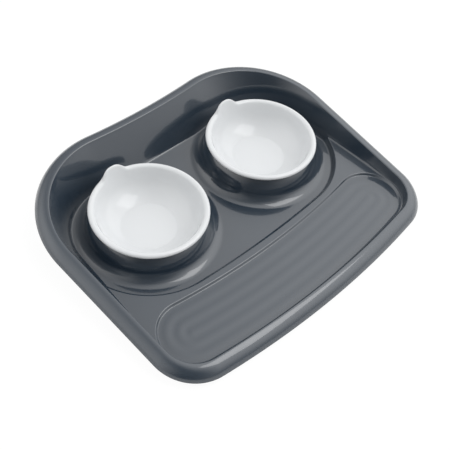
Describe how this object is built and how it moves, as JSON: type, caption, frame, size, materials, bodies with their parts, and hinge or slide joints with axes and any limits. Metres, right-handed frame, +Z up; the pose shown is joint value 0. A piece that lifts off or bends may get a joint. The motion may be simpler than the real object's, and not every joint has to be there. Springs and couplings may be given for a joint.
{
  "type": "double pet bowl",
  "caption": "Twin pet feeding bowls: a dark moulded tray with a sloping raised rim and bowl stands, carrying white lift-out bowls with lifting tabs.",
  "frame": {"origin": "bottom centre of the whole object, on the plane that the rubber feet stand on", "axes": "+X along the width, from the left bowl to the right bowl; +Y from the low front edge to the high back edge; +Z up"},
  "size_m": [0.3858, 0.3098, 0.0482],
  "materials": {
    "tray": "glossy dark slate-grey moulded plastic",
    "bowl": "glossy white moulded plastic",
    "foot": "matt black rubber"
  },
  "bodies": {
    "base": {"tray": "tray", "foot_front_left": "foot", "foot_front_right": "foot", "foot_back_left": "foot", "foot_back_right": "foot"},
    "bowl_left": {"bowl_left": "bowl"},
    "bowl_right": {"bowl_right": "bowl"}
  },
  "joints": [
    {"name": "bowl_left_lift", "type": "slide", "parent": "base", "child": "bowl_left", "axis": [0, 0, 1], "range_m": [0, 0.06]},
    {"name": "bowl_right_lift", "type": "slide", "parent": "base", "child": "bowl_right", "axis": [0, 0, 1], "range_m": [0, 0.06]}
  ]
}
